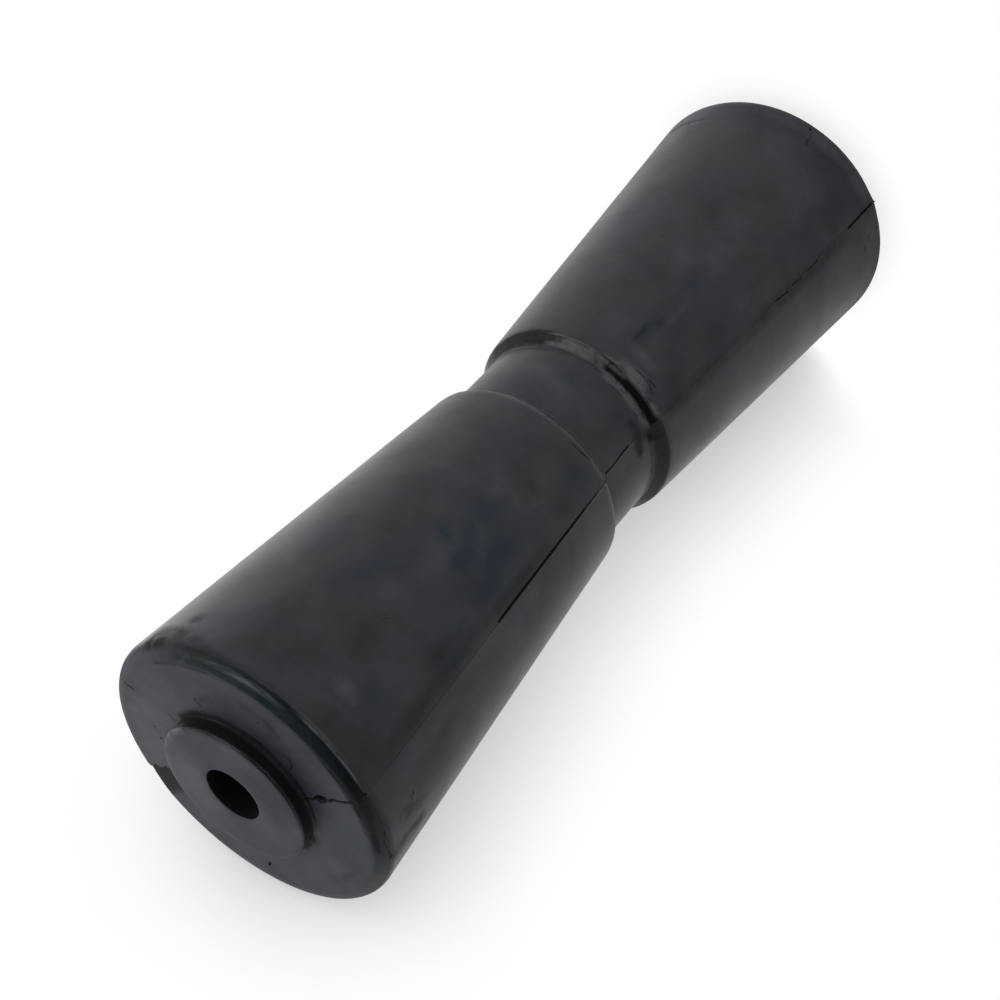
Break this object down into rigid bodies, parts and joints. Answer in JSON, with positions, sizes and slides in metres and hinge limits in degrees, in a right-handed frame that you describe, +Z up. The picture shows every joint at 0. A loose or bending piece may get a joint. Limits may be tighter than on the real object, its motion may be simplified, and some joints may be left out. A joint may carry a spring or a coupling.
{
  "type": "boat trailer roller",
  "caption": "Hourglass keel roller of solid black rubber for a boat trailer, with two long cones, a narrow neck that centres the keel, round bosses and a through spindle hole.",
  "frame": {"origin": "middle of the lower boss's face, on which the roller stands", "axes": "+Z runs up along the spindle hole; the two halves of the mould met in the YZ plane, so the parting line runs down the front (-Y) and the back (+Y)"},
  "size_m": [0.0891, 0.0902, 0.3],
  "materials": {
    "black_rubber": "satin, as it leaves the mould"
  },
  "bodies": {
    "root": {"keel_roller": "black_rubber"}
  },
  "joints": []
}
